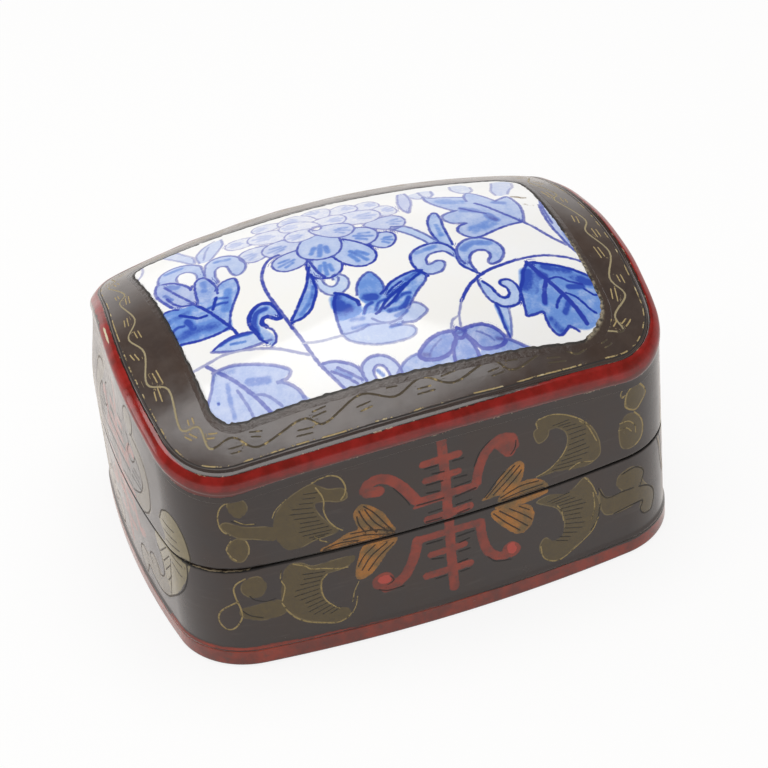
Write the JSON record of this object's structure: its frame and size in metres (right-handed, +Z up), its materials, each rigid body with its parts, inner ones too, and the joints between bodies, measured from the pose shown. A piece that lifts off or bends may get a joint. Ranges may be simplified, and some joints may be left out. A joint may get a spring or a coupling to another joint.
{
  "type": "seal paste box",
  "caption": "Rounded rectangular lacquered box with a lift-off arched lid set with a piece of blue and white porcelain, holding a dish of seal paste.",
  "frame": {"origin": "under the middle of the box, on the surface it stands on", "axes": "+X along the box's length, to the right seen from the front; +Z up; the front faces -Y"},
  "size_m": [0.1028, 0.0808, 0.0587],
  "materials": {
    "black_lacquer": "black lacquer over wood, satin gloss, worn",
    "red_lacquer": "red lacquer over wood, satin gloss, worn",
    "lining_lacquer": "thin dark lacquer over wood",
    "painted_porcelain": "clear glossy glaze over painted blue",
    "white_porcelain": "clear glossy glaze",
    "filler": "matt, crumbly filler",
    "cinnabar_paste": "oily red paste"
  },
  "bodies": {
    "base": {"bottom_board": "red_lacquer", "base_front_wall": "black_lacquer", "base_right_wall": "black_lacquer", "base_back_wall": "black_lacquer", "base_left_wall": "black_lacquer", "lip_front": "lining_lacquer", "lip_right": "lining_lacquer", "lip_back": "lining_lacquer", "lip_left": "lining_lacquer"},
    "lid": {"lid_front_wall": "black_lacquer", "lid_right_wall": "black_lacquer", "lid_back_wall": "black_lacquer", "lid_left_wall": "black_lacquer", "lid_top_board": "black_lacquer", "rim_bead": "red_lacquer", "porcelain_shard": "painted_porcelain", "shard_filler": "filler"},
    "dish": {"paste_dish": "white_porcelain", "seal_paste": "cinnabar_paste"}
  },
  "joints": [
    {"name": "lid_lift", "type": "slide", "parent": "base", "child": "lid", "axis": [0, 0, 1], "range_m": [0, 0.045]},
    {"name": "dish_lift", "type": "slide", "parent": "base", "child": "dish", "axis": [0, 0, 1], "range_m": [0, 0.024]}
  ]
}
